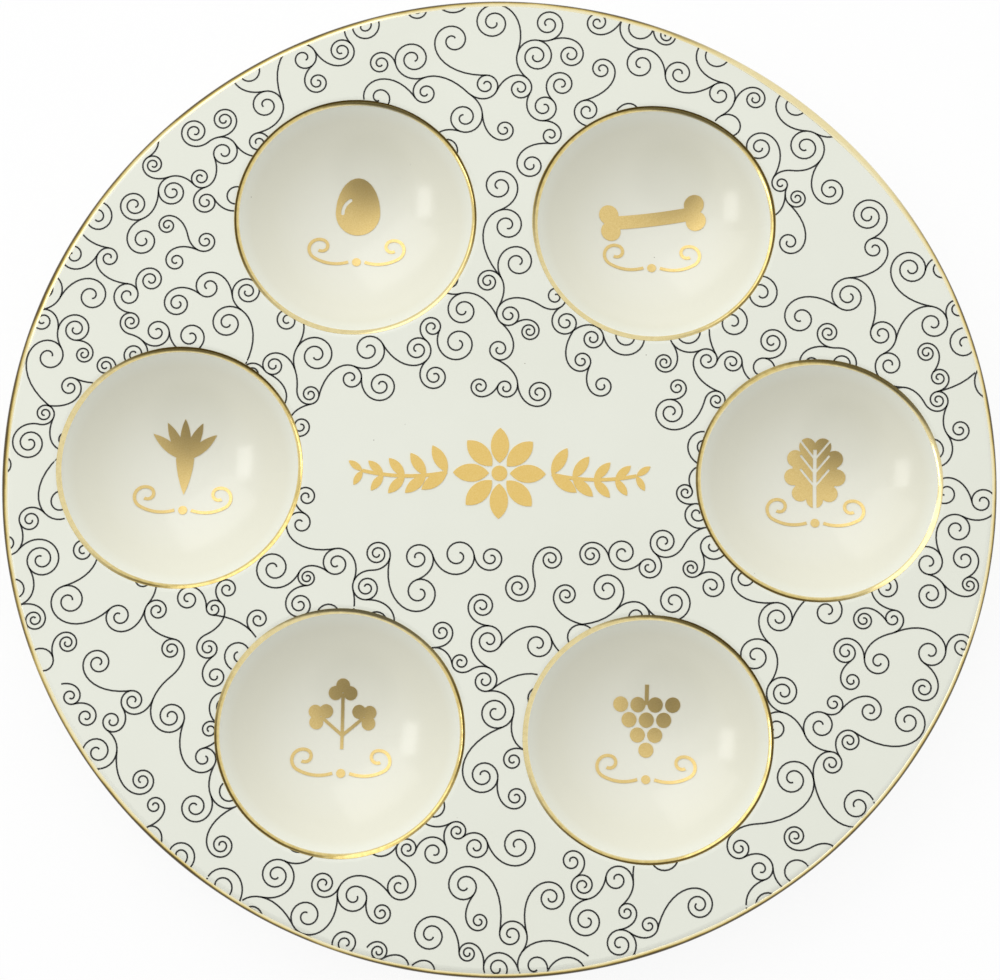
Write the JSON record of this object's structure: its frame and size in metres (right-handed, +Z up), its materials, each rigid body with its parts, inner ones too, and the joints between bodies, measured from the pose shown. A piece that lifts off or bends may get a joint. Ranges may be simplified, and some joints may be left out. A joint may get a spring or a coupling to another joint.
{
  "type": "seder plate",
  "caption": "Round glazed ceramic ritual serving plate with shallow bowl-shaped wells for foods, gold lines on rim and wells, gold ornaments, and foot rings under the wells.",
  "frame": {"origin": "middle of the plate, on the plane that its feet stand on", "axes": "+Z up out of the wells, +X towards the lettuce well at the right, +Y towards the upper pair of wells"},
  "size_m": [0.3057, 0.3056, 0.0222],
  "materials": {
    "ceramic": "gloss ivory glaze",
    "bright_gold": "hand-painted bright gold",
    "matte_gold": "matte gold transfer",
    "printed_ink": "blue-black fired-on line print"
  },
  "bodies": {
    "root": {"plate_body": "ceramic", "rim_gold_line": "bright_gold", "lettuce_well_gold_line": "bright_gold", "shank_bone_well_gold_line": "bright_gold", "egg_well_gold_line": "bright_gold", "bitter_herb_well_gold_line": "bright_gold", "parsley_well_gold_line": "bright_gold", "charoset_well_gold_line": "bright_gold", "centre_gold_ornament": "matte_gold", "lettuce_well_ornament": "matte_gold", "shank_bone_well_ornament": "matte_gold", "egg_well_ornament": "matte_gold", "bitter_herb_well_ornament": "matte_gold", "parsley_well_ornament": "matte_gold", "charoset_well_ornament": "matte_gold"}
  },
  "joints": []
}
